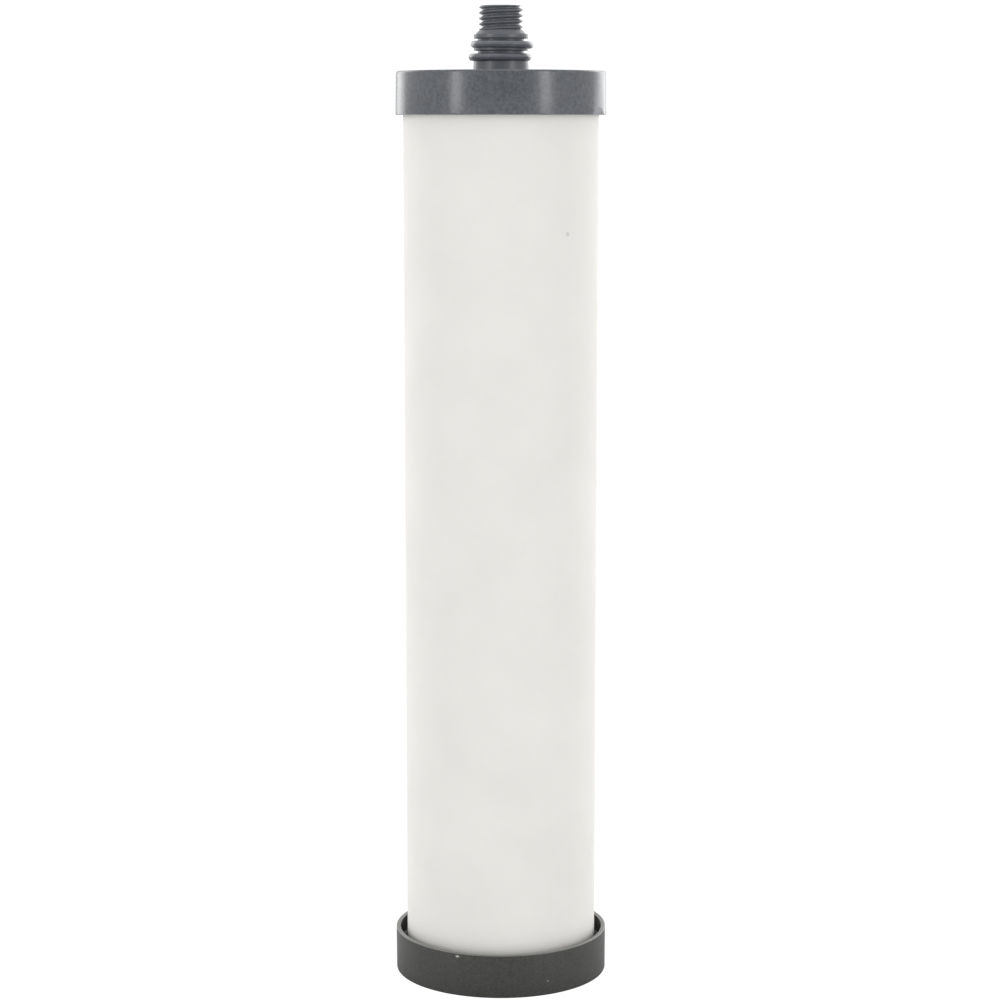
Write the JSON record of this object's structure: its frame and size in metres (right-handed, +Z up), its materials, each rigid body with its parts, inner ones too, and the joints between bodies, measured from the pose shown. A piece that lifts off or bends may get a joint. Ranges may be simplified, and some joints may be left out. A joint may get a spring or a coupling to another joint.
{
  "type": "ceramic water filter element",
  "caption": "Cylindrical ceramic filter element with a carbon core, a cup-shaped base cap and an outlet cap whose threaded spigot carries O-ring seals.",
  "frame": {"origin": "centre of the base cap's underside, on the surface the element stands on", "axes": "+Z up the axis, towards the outlet spigot; -Y towards the viewer, with +X to the right"},
  "size_m": [0.0558, 0.0558, 0.2531],
  "materials": {
    "base_plastic": "moulded, fine matt grain",
    "adhesive": "cured black potting adhesive",
    "ceramic": "fired and unglazed, fine pores",
    "plug_plastic": "natural white moulding",
    "carbon": "extruded carbon block, dull and granular",
    "non_woven": "white non-woven sleeve",
    "seal_rubber": "moulded rubber",
    "porous_disc": "sintered porous plastic",
    "cap_plastic": "moulded, semi-gloss",
    "ring_rubber": "lubricated rubber"
  },
  "bodies": {
    "root": {"base_cap": "base_plastic", "base_bond": "adhesive", "ceramic_shell": "ceramic", "core_plug": "plug_plastic", "carbon_core": "carbon", "core_wrap": "non_woven", "core_gasket": "seal_rubber", "screen_retainer": "plug_plastic", "outlet_screen": "porous_disc", "outlet_bond": "adhesive", "outlet_cap": "cap_plastic", "lower_o_ring": "ring_rubber", "upper_o_ring": "ring_rubber"}
  },
  "joints": []
}
